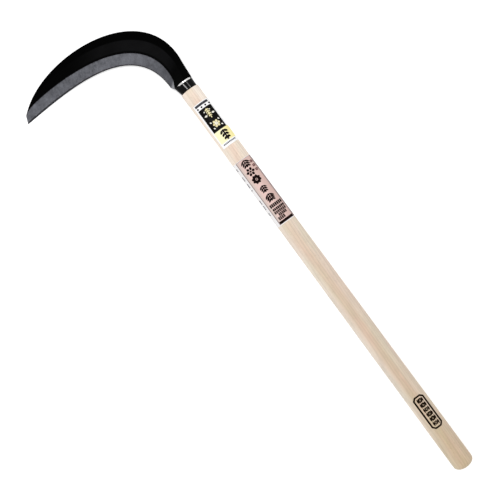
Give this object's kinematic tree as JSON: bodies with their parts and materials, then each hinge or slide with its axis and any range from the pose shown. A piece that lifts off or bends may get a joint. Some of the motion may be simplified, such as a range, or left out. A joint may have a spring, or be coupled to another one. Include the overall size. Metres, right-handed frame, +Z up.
{
  "type": "sickle",
  "caption": "Long-handled brush sickle: a broad hooked blade with one ground bevel, set by its tang in a black ferrule on an oval wooden handle with two paper labels.",
  "frame": {"origin": "under the middle of the tool's bounding box, on the surface that the tool lies on", "axes": "+X runs along the handle from its butt to the blade, +Y to the side that the blade's hook reaches to, and +Z up from the surface, out of the bevelled side of the blade"},
  "size_m": [1.0518, 0.3016, 0.03],
  "materials": {
    "wood": "bare planed hardwood, slightly darker towards the butt",
    "black_lacquer": "gloss black lacquer",
    "bright_metal": "bright plated",
    "black_iron": "satin black lacquer, ground bare on the bevel",
    "ground_steel": "ground, with fine cross scratches",
    "wedge_wood": "split hardwood",
    "pin_steel": "plain wire nail steel",
    "dark_label": "printed coated paper",
    "pink_label": "printed coated paper"
  },
  "bodies": {
    "root": {"handle": "wood", "ferrule": "black_lacquer", "mouth_ring": "bright_metal", "blade": "black_iron", "edge_steel": "ground_steel", "tang_wedge": "wedge_wood", "ferrule_pin": "pin_steel", "upper_label": "dark_label", "lower_label": "pink_label"}
  },
  "joints": []
}
